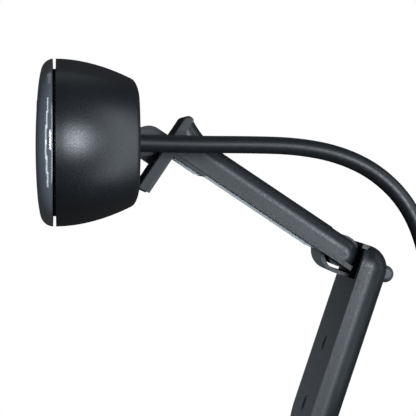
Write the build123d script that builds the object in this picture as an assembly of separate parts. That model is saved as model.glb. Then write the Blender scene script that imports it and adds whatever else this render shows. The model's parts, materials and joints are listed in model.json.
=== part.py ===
"""Webcam head on a folding screen clip, with its cord and plug.

Millimetres. X is across the webcam, the lens faces -Y and +Z is up. The head is level and the
clip is pitched down towards the rear. The origin is the middle of the long pad's underside.
Clip sizes are (u, v): u runs rearward along the arm, v is square to it, upwards.
Leg sizes are (t, w): t runs outward through the leg, w up along it, from the fold axis.
Head sizes are from the tilt axis, along the row's own axes.
"""

import os
from math import cos, pi, radians, sin, sqrt, tan

from build123d import *

os.makedirs("parts", exist_ok=True)

# Clip: arm, front plate and pads.
clip_pitch = 33.8          # arm's slope, degrees
arm_half = 9.5             # half of the arm's width
arm_under = 0.49           # v of the arm's underside
plate_t = 0.89             # lower plate's thickness
arm_wall = 1.2
arm_round = 2.6            # rounding along the arm's upper edges
arm_end_r = 3.39           # arm's rear end, about the fold axis
arm_peak_v = 7.45          # arm's height where it meets the front plate
arm_dip = (2.15, 6.12)     # two points of the arm's upper line
arm_knee = (7.3, 5.44)
front_u = -2.78            # front plate's front face
front_t = 1.8
plate_round = 0.35         # rounding of the front plate's side edges
lip_v = -8.75               # lowest point of the lip
lip_round = 0.8
liner_t = 0.63
liner_len = 7.45           # liner's leg under the arm
liner_gap = 0.3            # liner's setback from the arm's sides and the lip's tip
pad_t = 0.25
pad_inset = 2.0            # from the arm's sides to the pads
short_pad_len = 5.5
short_pad_gap = 0.35       # from the liner's inner corner
long_pad_len = 24.0
long_pad_gap = 0.4         # behind the liner
peg_r = 0.9                # pegs that hold the front plate on the arm
peg_len = 1.9
peg_x = 6.0
peg_v = 3.9

# Tilt joint between head and clip.
tilt_axis = (-5.42, -0.47)  # (u, v)
neck_r = 3.2
neck_half = 4.0
tilt_pin_r = 1.2
lug_r = 2.4
lug_t = 1.9
washer_t = 0.25
running_gap = 0.05         # radial clearance of both hinge pins
side_gap = 0.05            # between neck and washer
pocket_gap = 0.45          # round the neck and lugs, in the shell's pocket

# Fold joint between clip and leg.
fold_axis = (35.6, 2.05)   # (u, v)
leg_tilt = 18.5            # leg's slope from upright, degrees
fold_pin_r = 1.0
pin_skin = 0.5             # arm's wall left outside each end of the fold pin
tongue_half = 7.5
tongue_r = 3.65
tongue_wall = 0.7
tongue_boss_r = 2.3
slot_gap = 0.3             # round the tongue, in the arm's slot

# Leg.
leg_cheek = 2.45           # leg's width beyond its opening for the arm, each side
leg_inner = 3.55           # t of the leg's inner face
leg_panel_t = 0.85
leg_outer = 9.04           # t of the leg's outer face
leg_len = 34.0             # from the fold axis to the tip
leg_top = 3.25
leg_top_round = 4.3
leg_tip_round = 3.0
leg_edge = 3.8             # rounding between the leg's outer face and its sides
leg_corner = 4.0           # rounding of the leg's free corners
leg_wall = 1.2
hood_t = 3.1               # t of the hood's front edge, over the arm's end
hood_wall = 0.9
window_gap = 0.7           # between the arm's sides and the leg's opening beside the tongue
bumper_r = 1.6
bumper_inset = 3.05        # from the leg's sides to the bumper's ends
bumper_w = -0.85
leg_screw_ws = (-17.0, -29.0)

# Head.
head_half_x = 36.5
head_half_z = 15.65
head_end_r = 13.0          # rounding of the oval's ends
head_front = -20.66
seam_front = -17.78        # bezel's rear edge
seam_gap = 0.56
head_back = -2.5
shell_drop_z = 4.05        # how much the shell narrows to the back, each side
shell_drop_x = 6.5
shell_curve = 1.9          # power of that narrowing
shell_back_round = 1.6
shell_wall = 1.6
bezel_taper = 8.0
bezel_crown_r = 135.0
bezel_crown_z = -1.0
bezel_edge = 2.4
bezel_wall = 1.9
spigot_gap = 0.3
spigot_wall = 1.2
spigot_len = 2.8

# Camera, board and sound.
ring_r = 8.2
ring_lip = 0.15            # how far the ring stands proud of the bezel
ring_t = 2.05
ring_step = 0.6            # the seat behind the window, and the ring's own rim
window_r = 6.2
window_t = 0.9
barrel_r = 4.5
barrel_wall = 1.0
barrel_len = 5.4
barrel_gap = 0.3           # behind the window
holder_half = 6.0
holder_gap = 0.05
holder_h = 4.0
board_half_x = 21.0
board_half_z = 9.5
board_t = 1.0
board_y = -12.0            # board's front face
sensor_half = 3.2
sensor_t = 0.9
mic_x = -19.0
mic_r = 2.5
mic_t = 1.8
mic_boot_wall = 0.8
mic_hole_r = 0.45
led_x = 19.0
led_r = 0.9
led_gap = 0.05
led_base = 1.4

# Screws.
screw_r = 0.75
screw_head_r = 1.5
screw_head_t = 0.9
cross_len, cross_w, cross_deep = 1.8, 0.5, 0.45  # the cross slot
boss_wall = 1.1
case_screw_x = 25.5
case_split = -9.0          # where the bezel's and the shell's screw posts meet
board_screw_x = 18.0
board_screw_z = 7.0
arm_screw_us = (11.0, 27.0)

# Cord, coil and plug.
cord_d = 3.2
cord_x = 15.5
cord_total = 1500.0
grommet_wall = 0.8
grommet_flange = 0.8
tail_d = 2.4               # cable inside the head
coil_mean_r = 17.0
coil_columns = 5           # turns side by side in the coil
coil_half_h = 4.5
coil_centre = (44.6, -73.6)
tie_t = 0.7
tie_start, tie_sweep = 54.0, 16.0
plug_body = (16.0, 8.0, 20.0)
plug_shell_size = (12.0, 4.5, 12.0)
plug_shell_t = 0.4
plug_tongue_t = 1.6
contact_w = 1.1
contact_t = 0.2

# The cord's route from the head to the coil, as (y, z) from the tilt axis.
cord_route = [
    (-2.5, -0.1), (7.5, -0.38), (18.0, -0.4), (26.5, -0.66), (34.2, -2.13), (41.0, -5.38),
    (46.6, -10.9), (50.0, -18.5), (51.3, -28.0), (51.0, -39.5), (52.2, -50.0), (55.0, -57.5),
]
# The stretch from the coil to the plug, as (y, z) from the coil's centre.
plug_route = [(19.6, -9.5), (20.0, -17.0), (19.6, -24.0)]
plug_x = cord_x + 4 * cord_d

# Derived sizes and places.
window_half = arm_half + window_gap
leg_half = window_half + leg_cheek
bumper_half = leg_half - bumper_inset
pad_half = arm_half - pad_inset
grommet_r = cord_d / 2 + grommet_wall
coil_half_w = coil_columns * cord_d / 2
axis_u, axis_v = fold_axis
crease_v = arm_under + plate_t
front_back_u = front_u + front_t
liner_u = front_back_u + liner_t
liner_v = arm_under - liner_t
long_pad_u = front_back_u + liner_len + long_pad_gap
pad_v = arm_under - pad_t
seat_uv = (long_pad_u + long_pad_len / 2, pad_v)
slot_front = axis_u - tongue_r - slot_gap
crease_t = leg_inner + leg_panel_t
shell_front = seam_front + seam_gap
inner_back = head_back - shell_wall


def clip_point(u, v):
    """Row (Y, Z) of a clip point."""
    du, dv = u - seat_uv[0], v - seat_uv[1]
    c, s = cos(radians(clip_pitch)), sin(radians(clip_pitch))
    return (du * c + dv * s, dv * c - du * s)


def side_plane(y, z, slope):
    """A plane seen from +X whose x axis runs rearward and down by the slope."""
    return Plane(origin=(0, y, z), x_dir=(0, cos(radians(slope)), -sin(radians(slope))), z_dir=(1, 0, 0))


clip_y, clip_z = clip_point(0, 0)
head_y, head_z = clip_point(*tilt_axis)
fold_y, fold_z = clip_point(*fold_axis)
CLIP = side_plane(clip_y, clip_z, clip_pitch)
LEG = side_plane(fold_y, fold_z, leg_tilt)
HEAD = Pos(0, head_y, head_z)
HEAD_SIDE = side_plane(0, 0, 0)


def outline(*edges):
    """A face inside a closed chain of edges."""
    return make_face(Curve() + list(edges))


def slab(face, x0, x1):
    """The face pushed out along X between two distances."""
    return Pos(0, 0, x0) * extrude(face, amount=x1 - x0)


def block(x0, x1, a0, a1, b0, b1):
    """A box in a side plane: x across, a along the plane's x axis, b along its y axis."""
    return Pos((a0 + a1) / 2, (b0 + b1) / 2, (x0 + x1) / 2) * Box(a1 - a0, b1 - b0, x1 - x0)


def rod(r, x0, x1, a=0.0, b=0.0):
    """A cylinder along X in a side plane."""
    return Pos(a, b, (x0 + x1) / 2) * Cylinder(r, x1 - x0)


def round_y(r, y0, y1, x=0.0, z=0.0):
    """A cylinder along Y in the head."""
    return Pos(x, (y0 + y1) / 2, z) * Rot(90, 0, 0) * Cylinder(r, y1 - y0)


def box_y(hx, y0, y1, hz, x=0.0, z=0.0):
    """A box in the head, by its half width and half height."""
    return Pos(x, (y0 + y1) / 2, z) * Box(2 * hx, y1 - y0, 2 * hz)


def save(shape, name):
    shape = Compound(children=list(shape)) if isinstance(shape, (list, tuple)) else shape
    export_step(shape, f"parts/{name}.step")


def oval(half_x, half_z, end_r):
    """An oval of four tangent arcs, strongly rounded at its ends."""
    big_r = ((half_x - end_r) ** 2 + half_z**2 - end_r**2) / (2 * (half_z - end_r))
    rise = big_r - half_z
    reach = sqrt((half_x - end_r) ** 2 + rise**2)
    jx = half_x - end_r + end_r * (half_x - end_r) / reach
    jz = end_r * rise / reach
    return outline(
        ThreePointArc((-jx, jz), (0, half_z), (jx, jz)),
        ThreePointArc((jx, jz), (half_x, 0), (jx, -jz)),
        ThreePointArc((jx, -jz), (0, -half_z), (-jx, -jz)),
        ThreePointArc((-jx, -jz), (-half_x, 0), (-jx, jz)),
    )


def head_section(y, inset=0.0):
    """The head's oval at one depth, pulled in by an inset."""
    share = max(0.0, (y - shell_front) / (head_back - shell_front)) ** shell_curve
    half_x = head_half_x - shell_drop_x * share - inset
    half_z = head_half_z - shell_drop_z * share - inset
    end_r = head_end_r * half_z / head_half_z
    plane = Plane(origin=(0, y, 0), x_dir=(1, 0, 0), z_dir=(0, -1, 0))
    return plane * oval(half_x, half_z, end_r)


# ---------------------------------------------------------------- clip
def arm_profile():
    """The arm's side outline above the crease."""
    top = (axis_u, axis_v + arm_end_r)
    low_u = axis_u + sqrt(arm_end_r**2 - (crease_v - axis_v) ** 2)
    mid = (axis_u + arm_end_r * cos(pi / 4), axis_v + arm_end_r * sin(pi / 4))
    slope = Vector(top[0] - arm_knee[0], top[1] - arm_knee[1])
    peak = (front_back_u, arm_peak_v)
    return outline(
        Spline([peak, arm_dip, arm_knee], tangents=[(2.0, -1.1), (slope.X, slope.Y)]),
        Line(arm_knee, top),
        ThreePointArc(top, mid, (low_u, crease_v)),
        Line((low_u, crease_v), (front_back_u, crease_v)),
        Line((front_back_u, crease_v), peak),
    )


def arm_slot():
    """The opening in the arm's rear end that the leg's tongue turns in."""
    half = tongue_half + slot_gap
    return block(-half, half, slot_front, axis_u + 9, -9, 12)


def arm_screw(u):
    """A countersunk screw from below, in clip sizes."""
    head = Pos(u, arm_under + screw_head_t / 4, 0) * Rot(90, 0, 0) * Cylinder(screw_head_r, screw_head_t / 2)
    shank = Pos(u, arm_under + 1.8, 0) * Rot(90, 0, 0) * Cylinder(screw_r, 3.6)
    return head + shank


def make_arm():
    blank = slab(arm_profile(), -arm_half, arm_half)
    side_edges = [
        e for e in blank.edges()
        if abs(abs(e.center().Z) - arm_half) < 0.01 and e.center().Y > crease_v + 0.01
        and e.center().X > front_back_u + 0.01
    ]
    blank = fillet(side_edges, arm_round)
    roof = axis_v + arm_end_r - arm_wall
    hollow_end = slot_front - arm_wall
    hollow = block(-arm_half + arm_wall, arm_half - arm_wall, front_back_u + arm_wall + 0.2, hollow_end,
                   crease_v - 1, roof)
    posts = [Pos(u, (crease_v + roof) / 2, 0) * Rot(90, 0, 0) * Cylinder(screw_r + boss_wall, roof - crease_v)
             for u in arm_screw_us]
    seat = rod(fold_pin_r, -arm_half + pin_skin, arm_half - pin_skin, axis_u, axis_v)
    throat = block(-arm_half + pin_skin, arm_half - pin_skin, axis_u - fold_pin_r, axis_u + fold_pin_r,
                   crease_v - 1, axis_v)
    pegs = [rod_u(peg_r, front_back_u, front_back_u + peg_len, x) for x in (-peg_x, peg_x)]
    body = blank - hollow
    for post in posts:
        body += post
    for cut in [arm_slot(), seat, throat, *pegs, *[arm_screw(u) for u in arm_screw_us]]:
        body -= cut
    return body


def rod_u(r, u0, u1, x):
    """A cylinder along u at one place across the clip."""
    return Pos((u0 + u1) / 2, peg_v, x) * Rot(0, 90, 0) * Cylinder(r, u1 - u0)


def make_lower_plate():
    end_u = axis_u + sqrt(arm_end_r**2 - (arm_under - axis_v) ** 2)
    blank = block(-arm_half, arm_half, front_back_u, end_u, arm_under, crease_v)
    groove = rod(fold_pin_r, -arm_half + pin_skin, arm_half - pin_skin, axis_u, axis_v)
    body = blank - arm_slot() - groove
    for u in arm_screw_us:
        body -= arm_screw(u)
    return body


def make_front_plate():
    """Lip, front face and the neck that carries the head."""
    top = arm_peak_v
    face = outline(
        Line((front_back_u, lip_v + 0.2), (front_back_u, top)),
        ThreePointArc((front_back_u, top), (front_back_u - 0.75, top + 0.25), (front_u + 0.25, top - 0.15)),
        ThreePointArc((front_u + 0.25, top - 0.15), (front_u + 0.06, top - 0.5), (front_u, top - 0.9)),
        Line((front_u, top - 0.9), (front_u, lip_v + lip_round)),
        ThreePointArc((front_u, lip_v + lip_round), (front_u + 0.25, lip_v + 0.22), (front_u + lip_round, lip_v)),
        Line((front_u + lip_round, lip_v), (front_back_u, lip_v + 0.2)),
    )
    pu, pv = tilt_axis
    neck = rod(neck_r, -neck_half, neck_half, pu, pv)
    neck += block(-neck_half, neck_half, pu, front_u + 0.2, pv - neck_r, pv + neck_r)
    body = slab(face, -arm_half, arm_half)
    ends = [
        e for e in body.edges()
        if abs(abs(e.center().Z) - arm_half) < 0.01 and e.center().X < front_back_u - 0.01
    ]
    body = fillet(ends, plate_round)
    body += neck
    for x in (-peg_x, peg_x):
        body += rod_u(peg_r, front_back_u, front_back_u + peg_len, x)
    return body - rod(tilt_pin_r + running_gap, -neck_half - 1, neck_half + 1, pu, pv)


def make_liner():
    half = arm_half - liner_gap
    under = block(-half, half, front_back_u, front_back_u + liner_len, liner_v, arm_under)
    down = block(-half, half, front_back_u, liner_u, lip_v + liner_gap + 0.2, arm_under)
    return under + down


def make_pads():
    short_u = liner_u + short_pad_gap
    short = block(-pad_half, pad_half, short_u, short_u + short_pad_len, liner_v - pad_t, liner_v)
    long = block(-pad_half, pad_half, long_pad_u, long_pad_u + long_pad_len, pad_v, arm_under)
    for u in arm_screw_us:
        long -= arm_screw(u)
    return short, long


# ---------------------------------------------------------------- leg
def plan_prism(inset):
    """The leg's plan outline, pulled in by an inset, through its whole thickness."""
    length = leg_len + leg_top - 2 * inset
    face = RectangleRounded(2 * (leg_half - inset), length, leg_corner - inset)
    plan = Plane(origin=(0, (leg_top - leg_len) / 2, 0), x_dir=(0, 0, 1), z_dir=(1, 0, 0))
    return extrude(plan * face, amount=20, both=True)


def leg_side():
    """The outer shell's side outline."""
    r, tip = leg_top_round, leg_tip_round
    cx, cw = leg_outer - r, leg_top - r
    return outline(
        Line((crease_t, -leg_len), (crease_t, leg_top)),
        Line((crease_t, leg_top), (cx, leg_top)),
        ThreePointArc((cx, leg_top), (cx + r * cos(pi / 4), cw + r * sin(pi / 4)), (leg_outer, cw)),
        Line((leg_outer, cw), (leg_outer, -leg_len + tip)),
        ThreePointArc((leg_outer, -leg_len + tip),
                      (leg_outer - tip + tip * cos(pi / 4), -leg_len + tip - tip * sin(pi / 4)),
                      (leg_outer - tip, -leg_len)),
        Line((leg_outer - tip, -leg_len), (crease_t, -leg_len)),
    )


def leg_envelope():
    """The leg's outer shape behind its crease, and the hood over the arm's end."""
    blank = slab(leg_side(), -leg_half, leg_half)
    outer_edges = [
        e for e in blank.edges()
        if abs(abs(e.center().Z) - leg_half) < 0.01 and e.center().X > crease_t + 0.6
    ]
    hood = block(-window_half, window_half, hood_t, crease_t + 0.1, leg_top - hood_wall, leg_top)
    return fillet(outer_edges, leg_edge) & plan_prism(0.0), hood


def leg_screw(w):
    """A screw from the inner face, in leg sizes."""
    head = Pos(leg_inner + screw_head_t / 4, w, 0) * Rot(0, 90, 0) * Cylinder(screw_head_r, screw_head_t / 2)
    shank = Pos(leg_inner + 1.75, w, 0) * Rot(0, 90, 0) * Cylinder(screw_r, 3.5)
    return head + shank


def make_leg_shell(envelope, hood):
    roof = leg_outer - leg_wall
    hollow = block(-leg_half + leg_wall, leg_half - leg_wall, crease_t - 1, roof, -leg_len + leg_wall + 1.5,
                   leg_top - leg_top_round + leg_wall + 0.3)
    posts = [Pos((crease_t + roof) / 2, w, 0) * Rot(0, 90, 0) * Cylinder(screw_r + boss_wall, roof - crease_t)
             for w in leg_screw_ws]
    body = envelope - (hollow & plan_prism(leg_wall)) + hood
    for post in posts:
        body += post
    for w in leg_screw_ws:
        body -= leg_screw(w)
    return body


def make_leg_panel():
    """Inner panel with the hollow tongue that carries the fold pin."""
    panel = block(-leg_half, leg_half, leg_inner, crease_t, -leg_len, leg_top - hood_wall) & plan_prism(0.0)
    for side in (-1, 1):
        x0, x1 = sorted((side * tongue_half, side * window_half))
        panel -= block(x0, x1, leg_inner - 1, crease_t + 1, -tongue_r, leg_top)
    half = tongue_half
    top = leg_top - hood_wall
    solid = rod(tongue_r, -half, half) + block(-half, half, 0, leg_inner, -tongue_r, top)
    bore_r = tongue_r - tongue_wall
    inside = rod(bore_r, -half, half)
    inside += block(-half, half, 0, leg_inner - tongue_wall, -bore_r, top - tongue_wall)
    web = block(-half, half, 0, leg_inner, -tongue_wall / 2, tongue_wall / 2)
    boss = rod(tongue_boss_r, -half, half)
    tongue = (solid - inside) + boss + web
    body = panel + tongue - rod(fold_pin_r + running_gap, -half - 1, half + 1)
    for w in leg_screw_ws:
        body -= leg_screw(w)
    return body


def make_bumper(envelope):
    bar = rod(bumper_r, -bumper_half, bumper_half, leg_outer - 0.1, bumper_w)
    bar = fillet(bar.edges(), 0.9)
    return bar - envelope


# ---------------------------------------------------------------- head
def screw_y(x, z, head_y0, length, toward):
    """A screw along Y whose head's outer face is at head_y0, its shank running the given way."""
    ends = sorted((head_y0, head_y0 + toward * screw_head_t))
    tip = sorted((head_y0, head_y0 + toward * length))
    body = round_y(screw_head_r, ends[0], ends[1], x, z) + round_y(screw_r, tip[0], tip[1], x, z)
    for half_x, half_z in ((cross_w / 2, cross_len / 2), (cross_len / 2, cross_w / 2)):
        body -= box_y(half_x, head_y0 - cross_deep, head_y0 + cross_deep, half_z, x, z)
    return body


def make_bezel():
    depth = seam_front - head_front
    back = head_section(seam_front)
    blank = extrude(back, amount=depth, taper=bezel_taper)
    crown = Pos(0, head_front + bezel_crown_r, bezel_crown_z) * Rot(0, 90, 0) * Cylinder(bezel_crown_r, 4 * head_half_x)
    blank = blank & crown
    front = blank.faces().sort_by(Axis.Y)[0]
    blank = fillet(front.edges(), bezel_edge)
    wall_back = head_front + bezel_wall
    room = extrude(head_section(seam_front, shell_wall + spigot_gap + spigot_wall), amount=seam_front - wall_back)
    spigot_out = extrude(oval_at(seam_front, shell_wall + spigot_gap, spigot_len), amount=spigot_len)
    spigot_in = extrude(oval_at(seam_front, shell_wall + spigot_gap + spigot_wall, spigot_len), amount=spigot_len)
    body = blank - room + (spigot_out - spigot_in)
    for x in (-case_screw_x, case_screw_x):
        post = round_y(screw_r + boss_wall, wall_back - 0.3, case_split, x)
        body = body + post - round_y(screw_r, wall_back + 1, case_split + 1, x)
    body -= round_y(ring_r - ring_step, head_front - 2, seam_front, 0)
    body -= round_y(ring_r, head_front - 2, head_front + ring_t - ring_lip, 0)
    for k in (-1, 0, 1):
        body -= round_y(mic_hole_r, head_front - 2, wall_back + 1, mic_x + 1.6 * k)
    body -= round_y(led_r + led_gap, head_front - 2, wall_back + 1, led_x)
    return body


def oval_at(y, inset, reach):
    """The seam's oval moved back by a reach, so that a push forward ends at the seam."""
    plane = Plane(origin=(0, y + reach, 0), x_dir=(1, 0, 0), z_dir=(0, -1, 0))
    half_x, half_z = head_half_x - inset, head_half_z - inset
    return plane * oval(half_x, half_z, head_end_r * half_z / head_half_z)


def shell_loft(y0, y1, inset):
    """The tapering cup between two depths."""
    count = 6
    return loft([head_section(y0 + (y1 - y0) * k / (count - 1), inset) for k in range(count)])


def make_rear_shell():
    outer = shell_loft(shell_front, head_back, 0)
    back = outer.faces().sort_by(Axis.Y)[-1]
    outer = fillet(back.edges(), shell_back_round)
    body = outer - shell_loft(shell_front, inner_back, shell_wall)
    # Posts for the case screws and for the board.
    for x in (-case_screw_x, case_screw_x):
        body += round_y(screw_head_r + boss_wall, case_split, inner_back + 0.2, x)
    for x in (-board_screw_x, board_screw_x):
        for z in (-board_screw_z, board_screw_z):
            body += round_y(screw_r + boss_wall, board_y + board_t, inner_back + 0.2, x, z)
    # Pocket for the neck, backed by a thicker floor, and the two lugs in it.
    half = neck_half + side_gap + washer_t + lug_t + pocket_gap
    floor = -(neck_r + pocket_gap)
    high = neck_r + pocket_gap
    body += box_y(half + shell_wall, floor - shell_wall, inner_back + 0.2, high + shell_wall)
    body -= box_y(half, floor, head_back + 1, high)
    for side in (-1, 1):
        x0 = neck_half + side_gap + washer_t
        x = side * (x0 + lug_t / 2)
        lug = HEAD_SIDE * (rod(lug_r, x - lug_t / 2, x + lug_t / 2)
                           + block(x - lug_t / 2, x + lug_t / 2, floor - 0.2, 0, -lug_r, lug_r))
        body += lug
    body -= HEAD_SIDE * rod(tilt_pin_r, -half, half)
    # Holes for the case screws, the board's screws and the cord's grommet.
    for x in (-case_screw_x, case_screw_x):
        body -= round_y(screw_r, case_split - 1, head_back + 1, x)
        body -= round_y(screw_head_r, head_back - shell_wall, head_back + 1, x)
    for x in (-board_screw_x, board_screw_x):
        for z in (-board_screw_z, board_screw_z):
            body -= round_y(screw_r, board_y, board_y + 4.5, x, z)
    body -= round_y(grommet_r, inner_back - 1, head_back + 1, cord_x, cord_route[0][1])
    return body


def make_head_parts():
    """Everything inside the head, by name."""
    ring_back = head_front + ring_t - ring_lip
    ring_front = head_front - ring_lip
    ring = round_y(ring_r - 0.02, ring_front, ring_back)
    ring = fillet(ring.edges().group_by(Axis.Y)[0], 0.4)
    ring -= round_y(window_r, ring_front - 1, ring_back - ring_step) + round_y(window_r - 0.8, ring_front - 1, ring_back + 1)
    window_front = ring_back - ring_step - window_t
    barrel_front = ring_back - ring_step + barrel_gap
    bore = barrel_r - barrel_wall
    barrel = round_y(barrel_r, barrel_front, barrel_front + barrel_len)
    barrel -= round_y(bore, barrel_front + 0.8, barrel_front + barrel_len + 1)
    barrel -= round_y(bore - 0.9, barrel_front - 1, barrel_front + 1)
    lens_y = barrel_front + 0.8
    elements = [round_y(bore, lens_y, lens_y + 0.9), round_y(bore, lens_y + 1.5, lens_y + 2.3),
                round_y(bore, lens_y + 2.9, lens_y + 3.6)]
    holder_front = board_y - holder_h
    holder = box_y(holder_half, board_y - 1.8, board_y, holder_half)
    holder += round_y(barrel_r + 1.2, holder_front, board_y - 1.0)
    holder -= round_y(barrel_r + holder_gap, holder_front - 1, board_y - 1.4)
    holder -= box_y(sensor_half + 0.5, board_y - 1.5, board_y + 1, sensor_half + 0.5)
    sensor = box_y(sensor_half, board_y - sensor_t, board_y, sensor_half)
    board = box_y(board_half_x, board_y, board_y + board_t, board_half_z)
    for x in (-board_screw_x, board_screw_x):
        for z in (-board_screw_z, board_screw_z):
            board -= round_y(screw_r + 0.15, board_y - 1, board_y + 3, x, z)
    board_back = board_y + board_t
    chips = [box_y(3.5, board_back, board_back + 1.1, 3.5, -6.5, 2.0),
             box_y(2.0, board_back, board_back + 0.9, 1.6, 0.5, 4.5),
             box_y(1.6, board_back, board_back + 0.8, 1.2, 1.5, -3.5),
             box_y(1.0, board_back, board_back + 0.7, 2.2, -13.0, -2.5)]
    plug_in = box_y(3.2, board_back, board_back + 3.2, 2.2, cord_x, cord_route[0][1])
    inner_cable = round_y(tail_d / 2, board_back + 3.2, inner_back - grommet_flange, cord_x, cord_route[0][1])
    grommet = round_y(grommet_r, inner_back, head_back, cord_x, cord_route[0][1])
    grommet += round_y(grommet_r + 0.9, inner_back - grommet_flange, inner_back, cord_x, cord_route[0][1])
    wall_back = head_front + bezel_wall
    mic = round_y(mic_r, wall_back + 0.6, wall_back + 0.6 + mic_t, mic_x)
    boot = round_y(mic_r + mic_boot_wall, wall_back, wall_back + 0.6 + mic_t, mic_x)
    boot -= mic
    for k in (-1, 0, 1):
        boot -= round_y(mic_hole_r, wall_back - 1, wall_back + 0.6, mic_x + 1.6 * k)
    pipe = round_y(led_r, head_front + 0.25, board_y - led_base, led_x)
    led = box_y(led_r, board_y - led_base, board_y, led_r, led_x)
    case_screws = [screw_y(x, 0, head_back - shell_wall + screw_head_t, 9.5, -1)
                   for x in (-case_screw_x, case_screw_x)]
    board_screws = [screw_y(x, z, board_y - screw_head_t, 4.6, 1)
                    for x in (-board_screw_x, board_screw_x) for z in (-board_screw_z, board_screw_z)]
    lug_in = neck_half + side_gap + washer_t
    pin = HEAD_SIDE * rod(tilt_pin_r, -lug_in - lug_t, lug_in + lug_t)
    washers = []
    for side in (-1, 1):
        x0, x1 = sorted((side * (neck_half + side_gap), side * lug_in))
        washers.append(HEAD_SIDE * (rod(lug_r, x0, x1) - rod(tilt_pin_r, x0 - 1, x1 + 1)))
    return {
        "lens_trim_ring": ring, "lens_barrel": barrel,
        "lens_window": round_y(window_r, window_front, window_front + window_t),
        "lens_elements": elements, "lens_holder": holder, "image_sensor": sensor,
        "main_board": board, "board_chips": chips, "cable_connector": plug_in,
        "inner_cable": inner_cable, "cable_grommet": grommet, "microphone": mic,
        "microphone_boot": boot, "light_pipe": pipe, "status_led": led,
        "case_screws": case_screws, "board_screws": board_screws,
        "tilt_pin": pin, "tilt_washers": washers,
    }


# ---------------------------------------------------------------- cord
def tube(points, x, d):
    """A round tube on straight runs joined by tangent arcs, with its corners' radii."""
    spots = [Vector(x, y, z) for y, z in points]
    runs = [b - a for a, b in zip(spots, spots[1:])]
    radii = []
    for a, b in zip(runs, runs[1:]):
        half_turn = radians(a.get_angle(b)) / 2
        radii.append(0.45 * min(a.length, b.length) / tan(half_turn))
    path = FilletPolyline(*spots, radius=radii)
    plane = Plane(origin=spots[0], z_dir=runs[0])
    body = sweep(plane * Circle(d / 2), path=path)
    area = pi * d * d / 4
    print("tube", round(path.length, 1), "mm, radii", [round(r, 1) for r in radii],
          "volume share", round(body.volume / (area * path.length), 4))
    return body, path.length


def coil_section(extra):
    """The coil's cross section, in the plane that holds its axis, grown by an extra."""
    half_w, half_h = coil_half_w + extra, coil_half_h + extra
    face = RectangleRounded(2 * half_w, 2 * half_h, half_h - 0.6)
    plane = Plane(origin=(cord_x - cord_d / 2 + coil_half_w, 0, coil_mean_r), x_dir=(1, 0, 0), z_dir=(0, -1, 0))
    return plane * face


def make_coil():
    return revolve(coil_section(0), axis=Axis.X, revolution_arc=360)


def make_tie():
    band = coil_section(tie_t) - coil_section(0)
    return Rot(-tie_start, 0, 0) * revolve(band, axis=Axis.X, revolution_arc=-tie_sweep)


def make_plug():
    """Overmould, metal shell, tongue and contacts, hanging under the last point of the plug's route."""
    y, z = plug_route[-1]
    wx, wy, wz = plug_body
    sx, sy, sz = plug_shell_size
    body = Pos(plug_x, y, z - wz / 2) * Box(wx, wy, wz)
    body = fillet(body.edges().filter_by(Axis.Z), 2.2)
    body = fillet(body.faces().sort_by(Axis.Z)[-1].edges(), 1.4)
    top = z - wz
    shell = Pos(plug_x, y, top - sz / 2) * Box(sx, sy, sz)
    shell -= Pos(plug_x, y, top - sz / 2) * Box(sx - 2 * plug_shell_t, sy - 2 * plug_shell_t, sz + 2)
    for side in (-1, 1):
        shell -= Pos(plug_x + side * 2.8, y, top - 6.4) * Box(2.2, 3 * sy, 2.2)
    inner_y = y + sy / 2 - plug_shell_t - plug_tongue_t / 2
    tongue = Pos(plug_x, inner_y, top - (sz - 0.6) / 2) * Box(sx - 2 * plug_shell_t, plug_tongue_t, sz - 0.6)
    contacts = [
        Pos(plug_x + x, inner_y - plug_tongue_t / 2 - contact_t / 2, top - length / 2 - 1.2)
        * Box(contact_w, contact_t, length)
        for x, length in ((-3.5, 8.8), (-1.0, 7.8), (1.0, 7.8), (3.5, 8.8))
    ]
    return {"plug_overmould": body, "plug_shell": shell, "plug_tongue": tongue, "plug_contacts": contacts}


# ---------------------------------------------------------------- write the pieces
short_pad, long_pad = make_pads()
envelope, hood = leg_envelope()
clip_parts = {
    "arm_shell": make_arm(), "arm_lower_plate": make_lower_plate(), "front_plate": make_front_plate(),
    "corner_liner": make_liner(), "short_pad": short_pad, "long_pad": long_pad,
    "arm_screws": [arm_screw(u) for u in arm_screw_us],
    "fold_pin": rod(fold_pin_r, -arm_half + pin_skin, arm_half - pin_skin, axis_u, axis_v),
}
leg_parts = {
    "leg_outer_shell": make_leg_shell(envelope, hood), "leg_inner_panel": make_leg_panel(),
    "rear_bumper": make_bumper(envelope), "leg_screws": [leg_screw(w) for w in leg_screw_ws],
}
head_parts = {"front_bezel": make_bezel(), "rear_shell": make_rear_shell(), **make_head_parts()}

COIL = HEAD * Pos(0, coil_centre[0], coil_centre[1])
lead, lead_len = tube(cord_route, cord_x, cord_d)
tail, tail_len = tube(plug_route, plug_x, cord_d)
head_parts["cord_lead"] = lead
coil_parts = {"cord_coil": make_coil(), "coil_tie": make_tie(), "cord_tail": tail, **make_plug()}
turns = (cord_total - lead_len - tail_len) / (2 * pi * coil_mean_r)
print("coil holds about", round(turns, 2), "turns")

for frame, parts in ((CLIP, clip_parts), (LEG, leg_parts), (HEAD, head_parts), (COIL, coil_parts)):
    for name, piece in parts.items():
        pieces = piece if isinstance(piece, list) else [piece]
        save([frame * p for p in pieces] if len(pieces) > 1 else frame * pieces[0], name)
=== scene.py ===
"""Looks of the webcam on its folding screen clip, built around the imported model."""

import json
from math import cos, pi, radians, sin

import bpy
from mathutils import Matrix, Vector


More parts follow.
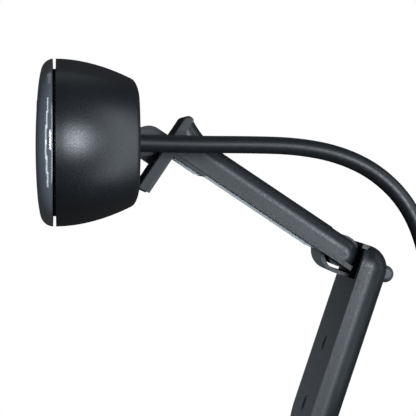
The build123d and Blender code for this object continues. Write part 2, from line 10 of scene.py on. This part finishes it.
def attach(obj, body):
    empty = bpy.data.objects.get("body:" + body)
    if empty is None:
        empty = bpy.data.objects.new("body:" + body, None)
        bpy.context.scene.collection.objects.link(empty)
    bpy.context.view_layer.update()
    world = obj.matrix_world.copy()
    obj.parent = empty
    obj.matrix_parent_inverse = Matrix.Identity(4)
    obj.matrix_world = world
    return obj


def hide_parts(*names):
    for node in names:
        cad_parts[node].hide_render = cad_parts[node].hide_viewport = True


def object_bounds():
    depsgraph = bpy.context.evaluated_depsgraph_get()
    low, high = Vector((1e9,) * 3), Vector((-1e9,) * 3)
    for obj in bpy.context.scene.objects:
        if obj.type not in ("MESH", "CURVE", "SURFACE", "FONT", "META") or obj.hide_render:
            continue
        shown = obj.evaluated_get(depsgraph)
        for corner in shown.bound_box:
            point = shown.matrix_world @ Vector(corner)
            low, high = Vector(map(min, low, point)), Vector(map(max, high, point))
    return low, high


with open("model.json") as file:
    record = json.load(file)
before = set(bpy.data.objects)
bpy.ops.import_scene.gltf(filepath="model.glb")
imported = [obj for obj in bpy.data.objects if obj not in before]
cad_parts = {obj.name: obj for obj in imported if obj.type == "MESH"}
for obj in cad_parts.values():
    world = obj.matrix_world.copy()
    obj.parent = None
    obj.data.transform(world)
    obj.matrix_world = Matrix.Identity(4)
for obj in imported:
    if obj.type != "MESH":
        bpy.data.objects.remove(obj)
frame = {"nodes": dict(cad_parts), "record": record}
cad_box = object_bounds()

MM = 0.001
JOINTS = {joint["name"]: joint for joint in frame["record"]["behaviour"]["joints"]}
TILT = Vector(JOINTS["head_tilt"]["pos_m"])  # everything here is placed from the head's tilt axis

# ---------------------------------------------------------------- camera, light and stage
EYE_FROM_TILT = Vector((380.0, -16.57, -1.36)) * MM
AIM_FROM_TILT = Vector((0.0, 11.37, -12.31)) * MM
FRAME_WIDTH = 78.54 * MM
SENSOR = 36.0
LIGHT_COLOUR = (0.84, 0.92, 1.0)
# Some softboxes light only these nodes, so that they don't spoil the reflections on the others.
BEZEL = "front_bezel"
CLIP_NODES = (
    "arm_shell", "arm_lower_plate", "front_plate", "leg_outer_shell", "leg_inner_panel", "rear_bumper",
)
UNDER_NODES = ("short_pad", "long_pad", "corner_liner", "arm_lower_plate", "leg_inner_panel")
# Where the bezel's strips stand, in degrees: turned about Y from the +X side, and ahead of the tilt axis,
# which is less by a share of the turn.
STRIP_TURNS = (-60, -36, -12, 12, 36, 60)
STRIP_AHEAD, STRIP_BEND = 36.4, 0.26
STRIP_DISTANCE, STRIP_POWER, STRIP_SIZE = 0.60, 0.34, (0.28, 0.08)
LOW_DIRECTION, LOW_DISTANCE = Vector((0.0, -0.70, -0.71)), 0.60
FILL_COLOUR, FILL_STRENGTH = (0.90, 0.95, 1.0), 0.035
FLOOR_DROP, FLOOR_HALF = 0.02, 0.5
FLOOR_GREY, FLOOR_GLOW = 0.60, 0.72


def add_camera():
    """Nearly square on to the side, from 0.38 m."""
    eye = TILT + EYE_FROM_TILT
    aim = TILT + AIM_FROM_TILT
    data = bpy.data.cameras.new("camera")
    data.sensor_width = SENSOR
    data.lens = SENSOR * (aim - eye).length / FRAME_WIDTH
    data.clip_start = 0.01
    camera = bpy.data.objects.new("camera", data)
    camera.location = eye
    camera.rotation_euler = (aim - eye).to_track_quat("-Z", "Y").to_euler()
    bpy.context.scene.collection.objects.link(camera)
    bpy.context.scene.camera = camera


def add_light(name, place, across, power, size, only=()):
    """A softbox that faces the tilt axis, its local X along a direction, for all or only some nodes."""
    data = bpy.data.lights.new(name, "AREA")
    data.shape = "RECTANGLE"
    data.size, data.size_y = size
    data.energy = power
    data.color = LIGHT_COLOUR
    light = bpy.data.objects.new(name, data)
    back = (place - TILT).normalized()
    up = back.cross(across).normalized()
    light.matrix_world = Matrix.Translation(place) @ Matrix((up.cross(back), up, back)).transposed().to_4x4()
    light.visible_camera = False
    if only:
        lit = bpy.data.collections.new(f"lit_by_{name}")
        for node in only:
            lit.objects.link(frame["nodes"][node])
        light.light_linking.receiver_collection = lit
    bpy.context.scene.collection.objects.link(light)


def polar(azimuth, elevation, distance):
    """A place about the tilt axis; azimuth 0 is +X, 90 is the rear."""
    a, e = radians(azimuth), radians(elevation)
    return TILT + distance * Vector((cos(e) * cos(a), cos(e) * sin(a), sin(e)))


def add_lights():
    """Plain softboxes for the whole object, then those that light only some of its nodes."""
    for name, azimuth, elevation, distance, size, power in (
        ("key_softbox", 23, 3, 0.55, (0.15, 0.26), 3.6),
        ("rear_softbox", 72, -3, 0.60, (0.26, 1.20), 3.3),
        ("top_softbox", 30, 70, 0.80, (0.50, 0.50), 0.06),
        ("back_softbox", 180, 60, 0.80, (0.50, 0.50), 0.24),
    ):
        sideways = Vector((-sin(radians(azimuth)), cos(radians(azimuth)), 0.0))
        add_light(name, polar(azimuth, elevation, distance), sideways, power, size)
    # A row of strips makes the one bent highlight along the bezel's edge.
    for turn in STRIP_TURNS:
        ahead, t = radians(STRIP_AHEAD - STRIP_BEND * abs(turn)), radians(turn)
        place = TILT + STRIP_DISTANCE * Vector((cos(ahead) * cos(t), -sin(ahead), cos(ahead) * sin(t)))
        add_light(f"bezel_strip_{turn}", place, Vector((-sin(t), 0.0, cos(t))), STRIP_POWER, STRIP_SIZE,
                  only=(BEZEL,))
    add_light("front_softbox", polar(-115, 18, 0.80), Vector((1.0, 0.0, 0.0)), 1.8, (0.60, 0.60),
              only=[node for node in frame["nodes"] if node != BEZEL])
    add_light("far_softbox", polar(183, -8, 0.80), Vector((0.0, 1.0, 0.0)), 0.16, (0.40, 0.20),
              only=CLIP_NODES)
    low = TILT + LOW_DISTANCE * LOW_DIRECTION
    add_light("low_softbox", low, Vector((1.0, 0.0, 0.0)), 2.2, (0.30, 0.30), only=UNDER_NODES)


def add_world():
    """White to the eye, and a dim even fill for the object."""
    world = bpy.data.worlds.new("studio")
    world.use_nodes = True
    nodes, links = world.node_tree.nodes, world.node_tree.links
    nodes.clear()
    path = nodes.new("ShaderNodeLightPath")
    seen = nodes.new("ShaderNodeBackground")
    seen.inputs["Color"].default_value = (1, 1, 1, 1)
    fill = nodes.new("ShaderNodeBackground")
    fill.inputs["Color"].default_value = (*FILL_COLOUR, 1)
    fill.inputs["Strength"].default_value = FILL_STRENGTH
    mix = nodes.new("ShaderNodeMixShader")
    out = nodes.new("ShaderNodeOutputWorld")
    links.new(path.outputs["Is Camera Ray"], mix.inputs["Fac"])
    links.new(fill.outputs[0], mix.inputs[1])
    links.new(seen.outputs[0], mix.inputs[2])
    links.new(mix.outputs[0], out.inputs["Surface"])
    bpy.context.scene.world = world
    bpy.context.scene.view_settings.view_transform = "Standard"


def add_floor():
    """A pale floor well below the hanging cord."""
    level = cad_box[0][2] - FLOOR_DROP
    mesh = bpy.data.meshes.new("floor")
    half = FLOOR_HALF
    corners = [(-half, -half, level), (half, -half, level), (half, half, level), (-half, half, level)]
    mesh.from_pydata(corners, [], [(0, 1, 2, 3)])
    floor = bpy.data.objects.new("floor", mesh)
    bpy.context.scene.collection.objects.link(floor)
    mat = bpy.data.materials.new("pale_floor")
    mat.use_nodes = True
    shader = mat.node_tree.nodes["Principled BSDF"]
    shader.inputs["Base Color"].default_value = (FLOOR_GREY, FLOOR_GREY, FLOOR_GREY, 1)
    shader.inputs["Roughness"].default_value = 0.9
    shader.inputs["Specular IOR Level"].default_value = 0.0
    shader.inputs["Emission Color"].default_value = (1, 1, 1, 1)
    shader.inputs["Emission Strength"].default_value = FLOOR_GLOW
    mesh.materials.append(mat)
    # Seen by the camera only, so that it neither lights the object nor hides the low lights.
    floor.visible_diffuse = floor.visible_glossy = floor.visible_transmission = floor.visible_shadow = False


# ---------------------------------------------------------------- materials
class Surface:
    """A material made step by step on one Principled shader."""

    def __init__(self, name, colour, rough, metallic=0.0):
        self.mat = bpy.data.materials.new(name)
        self.mat.use_nodes = True
        self.nodes, self.links = self.mat.node_tree.nodes, self.mat.node_tree.links
        self.shader = self.nodes["Principled BSDF"]
        self.colour = colour
        self.shader.inputs["Base Color"].default_value = (*colour, 1)
        self.shader.inputs["Roughness"].default_value = rough
        self.shader.inputs["Metallic"].default_value = metallic
        self.coords = self.nodes.new("ShaderNodeTexCoord")
        self.height = None

    def set(self, **values):
        for key, value in values.items():
            self.shader.inputs[key.replace("_", " ")].default_value = value
        return self

    def noise(self, scale, detail=3.0, stretch=(1, 1, 1)):
        mapping = self.nodes.new("ShaderNodeMapping")
        mapping.inputs["Scale"].default_value = stretch
        tex = self.nodes.new("ShaderNodeTexNoise")
        tex.inputs["Scale"].default_value = scale
        tex.inputs["Detail"].default_value = detail
        self.links.new(self.coords.outputs["Object"], mapping.inputs["Vector"])
        self.links.new(mapping.outputs["Vector"], tex.inputs["Vector"])
        return tex.outputs["Fac"]

    def vary_colour(self, scale, low, high, detail=3.0):
        """The colour from low to high times itself, by a noise."""
        ramp = self.nodes.new("ShaderNodeValToRGB")
        for spot, share, place in ((0, low, 0.3), (1, high, 0.7)):
            ramp.color_ramp.elements[spot].position = place
            ramp.color_ramp.elements[spot].color = (*[min(1.0, c * share) for c in self.colour], 1)
        self.links.new(self.noise(scale, detail), ramp.inputs["Fac"])
        self.links.new(ramp.outputs["Color"], self.shader.inputs["Base Color"])
        return self

    def vary_rough(self, scale, low, high, detail=3.0, stretch=(1, 1, 1)):
        span = self.nodes.new("ShaderNodeMapRange")
        span.inputs["From Min"].default_value = 0.3
        span.inputs["From Max"].default_value = 0.7
        span.inputs["To Min"].default_value = low
        span.inputs["To Max"].default_value = high
        self.links.new(self.noise(scale, detail, stretch), span.inputs["Value"])
        self.links.new(span.outputs["Result"], self.shader.inputs["Roughness"])
        return self

    def smooth_edges(self, radius):
        """Normals that flow over each edge as if it had a radius in metres."""
        node = self.nodes.new("ShaderNodeBevel")
        node.samples = 16
        node.inputs["Radius"].default_value = radius
        for socket in ("Normal", "Coat Normal"):
            self.links.new(node.outputs["Normal"], self.shader.inputs[socket])
        return self

    def bump(self, scale, depth, strength=1.0, detail=2.0, stretch=(1, 1, 1)):
        """Surface grain of a given depth in metres, laid over any earlier one."""
        node = self.nodes.new("ShaderNodeBump")
        node.inputs["Strength"].default_value = strength
        node.inputs["Distance"].default_value = depth
        self.links.new(self.noise(scale, detail, stretch), node.inputs["Height"])
        if self.height:
            self.links.new(self.height, node.inputs["Normal"])
        self.height = node.outputs["Normal"]
        self.links.new(self.height, self.shader.inputs["Normal"])
        return self


def make_materials():
    s = {}
    s["bezel_gloss"] = (Surface("bezel_gloss", (0.082, 0.092, 0.106), 0.16)
                        .set(Coat_Weight=1.0, Coat_Roughness=0.07, Coat_IOR=2.0, Specular_IOR_Level=0.55)
                        .vary_colour(90, 0.94, 1.06).vary_rough(600, 0.10, 0.14).smooth_edges(0.0012))
    s["shell_matte"] = (Surface("shell_matte", (0.0070, 0.0077, 0.0092), 0.40)
                        .set(Specular_IOR_Level=0.55)
                        .vary_colour(5200, 0.62, 1.55, 1.5).vary_rough(3800, 0.34, 0.46)
                        .bump(3400, 2.2e-5, 0.7).bump(420, 6e-6, 0.2))
    s["clip_satin"] = (Surface("clip_satin", (0.0120, 0.0138, 0.0158), 0.40)
                       .set(Specular_IOR_Level=0.36)
                       .vary_colour(3800, 0.80, 1.22, 2.0).vary_rough(2600, 0.34, 0.48)
                       .bump(3000, 7e-6, 0.5).bump(300, 5e-6, 0.15))
    s["clip_matte"] = (Surface("clip_matte", (0.0130, 0.0145, 0.0170), 0.50)
                       .vary_colour(3000, 0.85, 1.18, 2.0).vary_rough(2400, 0.46, 0.60)
                       .bump(3200, 8e-6, 0.5))
    s["liner_rubber"] = (Surface("liner_rubber", (0.026, 0.030, 0.033), 0.62)
                         .set(Sheen_Weight=0.12, Sheen_Roughness=0.5)
                         .vary_colour(1500, 0.88, 1.14).bump(2600, 1.2e-5, 0.6))
    s["pad_grey"] = (Surface("pad_grey", (0.72, 0.78, 0.82), 0.78)
                     .set(Sheen_Weight=0.15, Sheen_Roughness=0.6)
                     .vary_colour(2400, 0.86, 1.10, 2.0).bump(3200, 2.5e-5, 0.8))
    s["cord_sheath"] = (Surface("cord_sheath", (0.0095, 0.0102, 0.0120), 0.42)
                        .set(Specular_IOR_Level=0.38)
                        .vary_colour(900, 0.85, 1.18).vary_rough(1300, 0.36, 0.50)
                        .bump(2400, 6e-6, 0.4).bump(160, 1.2e-5, 0.15))
    s["soft_rubber"] = (Surface("soft_rubber", (0.018, 0.0205, 0.0235), 0.50)
                        .set(Sheen_Weight=0.10, Sheen_Roughness=0.5)
                        .vary_colour(1800, 0.85, 1.16).bump(2800, 8e-6, 0.5))
    s["trim_gloss"] = (Surface("trim_gloss", (0.012, 0.013, 0.015), 0.12)
                       .set(Coat_Weight=0.5, Coat_Roughness=0.04)
                       .vary_rough(700, 0.10, 0.17).bump(1500, 2e-6, 0.2))
    s["black_plastic"] = (Surface("black_plastic", (0.010, 0.010, 0.011), 0.55)
                          .vary_colour(2000, 0.8, 1.2).bump(2500, 8e-6, 0.5))
    s["clear_glass"] = (Surface("clear_glass", (0.80, 0.86, 0.92), 0.03)
                        .set(Transmission_Weight=0.92, IOR=1.5, Coat_Weight=0.3, Coat_Roughness=0.02)
                        .vary_rough(300, 0.015, 0.05))
    s["clear_plastic"] = (Surface("clear_plastic", (0.85, 0.90, 0.95), 0.15)
                          .set(Transmission_Weight=0.7, IOR=1.49)
                          .vary_rough(900, 0.10, 0.22))
    s["sensor_glass"] = (Surface("sensor_glass", (0.035, 0.040, 0.075), 0.10)
                         .set(Coat_Weight=0.5).vary_colour(1600, 0.7, 1.4))
    s["board_green"] = (Surface("board_green", (0.016, 0.120, 0.055), 0.36)
                        .vary_colour(700, 0.75, 1.25).vary_rough(1500, 0.30, 0.46).bump(1200, 1.5e-5, 0.4))
    s["chip_black"] = (Surface("chip_black", (0.016, 0.016, 0.018), 0.50)
                       .vary_colour(3000, 0.8, 1.25).bump(3500, 8e-6, 0.5))
    s["white_plastic"] = (Surface("white_plastic", (0.74, 0.73, 0.69), 0.42)
                          .vary_colour(500, 0.95, 1.04).bump(2000, 5e-6, 0.3))
    s["steel"] = (Surface("steel", (0.56, 0.57, 0.58), 0.30, metallic=1.0)
                  .vary_rough(900, 0.22, 0.38, stretch=(12, 1, 1)).bump(900, 3e-6, 0.4, stretch=(12, 1, 1)))
    s["screw_steel"] = (Surface("screw_steel", (0.075, 0.075, 0.082), 0.36, metallic=1.0)
                        .vary_rough(1600, 0.28, 0.46).bump(1800, 5e-6, 0.4))
    s["tie_black"] = (Surface("tie_black", (0.020, 0.020, 0.022), 0.60)
                      .set(Sheen_Weight=0.2).vary_colour(2000, 0.8, 1.3).bump(2600, 1.5e-5, 0.8))
    s["plug_black"] = (Surface("plug_black", (0.018, 0.019, 0.021), 0.50)
                       .vary_colour(2600, 0.85, 1.2).vary_rough(2200, 0.42, 0.58).bump(2400, 1.2e-5, 0.6))
    s["plug_nickel"] = (Surface("plug_nickel", (0.66, 0.65, 0.62), 0.24, metallic=1.0)
                        .vary_rough(500, 0.20, 0.28, 2.0, (6, 6, 1)).bump(900, 1e-6, 0.3, 2.0, (6, 6, 1)))
    s["contact_gold"] = (Surface("contact_gold", (0.86, 0.62, 0.26), 0.24, metallic=1.0)
                         .vary_rough(1500, 0.18, 0.32).bump(1500, 3e-6, 0.3))
    return {name: surface.mat for name, surface in s.items()}


def dress_nodes(materials):
    """Every CAD node takes the material of its slot."""
    slots = {row["node"]: row["material_slot"] for row in frame["record"]["subparts"]}
    for name, obj in frame["nodes"].items():
        obj.data.materials.clear()
        obj.data.materials.append(materials[slots[name]])


# ---------------------------------------------------------------- cord
CORD_D = 3.2
CORD_X, TAIL_X = 15.5, 28.3
COIL_CENTRE = (44.6, -73.6)
COIL_STEPS = 16
COIL_START, COIL_FINISH = 38.0, 88.0    # angles from the top, in degrees, clockwise
SHIFT_FROM, SHIFT_TO = 150.0, 235.0     # where each turn moves over to the next one's place
COIL_SLACK = 0.10                       # how far a tied turn strays from a true circle
# The route from the head to the coil and from the coil to the plug, (y, z) in millimetres.
LEAD = [
    (-2.5, -0.1), (7.5, -0.38), (18.0, -0.4), (26.5, -0.66), (34.2, -2.13), (41.0, -5.38),
    (46.6, -10.9), (50.0, -18.5), (51.3, -28.0), (51.0, -39.5), (52.2, -50.0),
]
TAIL = [(20.2, -9.5), (20.0, -17.0), (19.6, -24.0)]
# The turns in the order that they were wound: place across the bundle, and radius.
TURNS = [
    (17.1, 19.75), (20.3, 19.75), (21.9, 17.0), (18.7, 17.0), (15.5, 17.0), (17.1, 14.25), (20.3, 14.25),
    (23.5, 14.25), (26.7, 14.25), (28.3, 17.0), (25.1, 17.0), (23.5, 19.75), (26.7, 19.75),
]


def coil_points():
    """The tied turns, clockwise from the lead's entry near the top to the tail's exit at the rear."""
    total = (len(TURNS) - 1) * 360 + COIL_FINISH
    points = []
    angle = COIL_START
    while angle < total:
        turn = int(angle // 360)
        part = angle % 360
        x, r = TURNS[turn]
        if turn + 1 < len(TURNS):
            next_x, next_r = TURNS[turn + 1]
            share = min(1.0, max(0.0, (part - SHIFT_FROM) / (SHIFT_TO - SHIFT_FROM)))
            share = share * share * (3 - 2 * share)
            x, r = x + (next_x - x) * share, r + (next_r - r) * share
        r += COIL_SLACK * sin(2.3 * turn + radians(2 * part))
        # The smooth line runs inside its points, so they stand out by that much.
        r /= cos(pi / COIL_STEPS)
        a = radians(part)
        points.append((x, COIL_CENTRE[0] + r * sin(a), COIL_CENTRE[1] + r * cos(a)))
        angle += 360 / COIL_STEPS
    return points


def add_cord(materials):
    """The whole cord on one smooth line: lead, coil and tail."""
    spots = [(CORD_X, y, z) for y, z in LEAD]
    spots += coil_points()
    spots += [(TAIL_X, COIL_CENTRE[0] + y, COIL_CENTRE[1] + z) for y, z in TAIL]
    data = bpy.data.curves.new("cord", "CURVE")
    data.dimensions = "3D"
    data.bevel_depth = CORD_D / 2 * MM
    data.bevel_resolution = 7
    data.resolution_u = 6
    data.use_fill_caps = True
    spline = data.splines.new("NURBS")
    spline.points.add(len(spots) - 1)
    for point, spot in zip(spline.points, spots):
        place = TILT + Vector(spot) * MM
        point.co = (*place, 1.0)
    spline.order_u = 3
    spline.use_endpoint_u = True
    spline.use_smooth = True
    cord = bpy.data.objects.new("cord", data)
    bpy.context.scene.collection.objects.link(cord)
    data.materials.append(materials["cord_sheath"])
    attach(cord, "head")
    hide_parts("cord_lead", "cord_coil", "cord_tail")
    return cord


# ---------------------------------------------------------------- build
add_camera()
materials = make_materials()
cord = add_cord(materials)
dress_nodes(materials)
add_lights()
add_world()
add_floor()
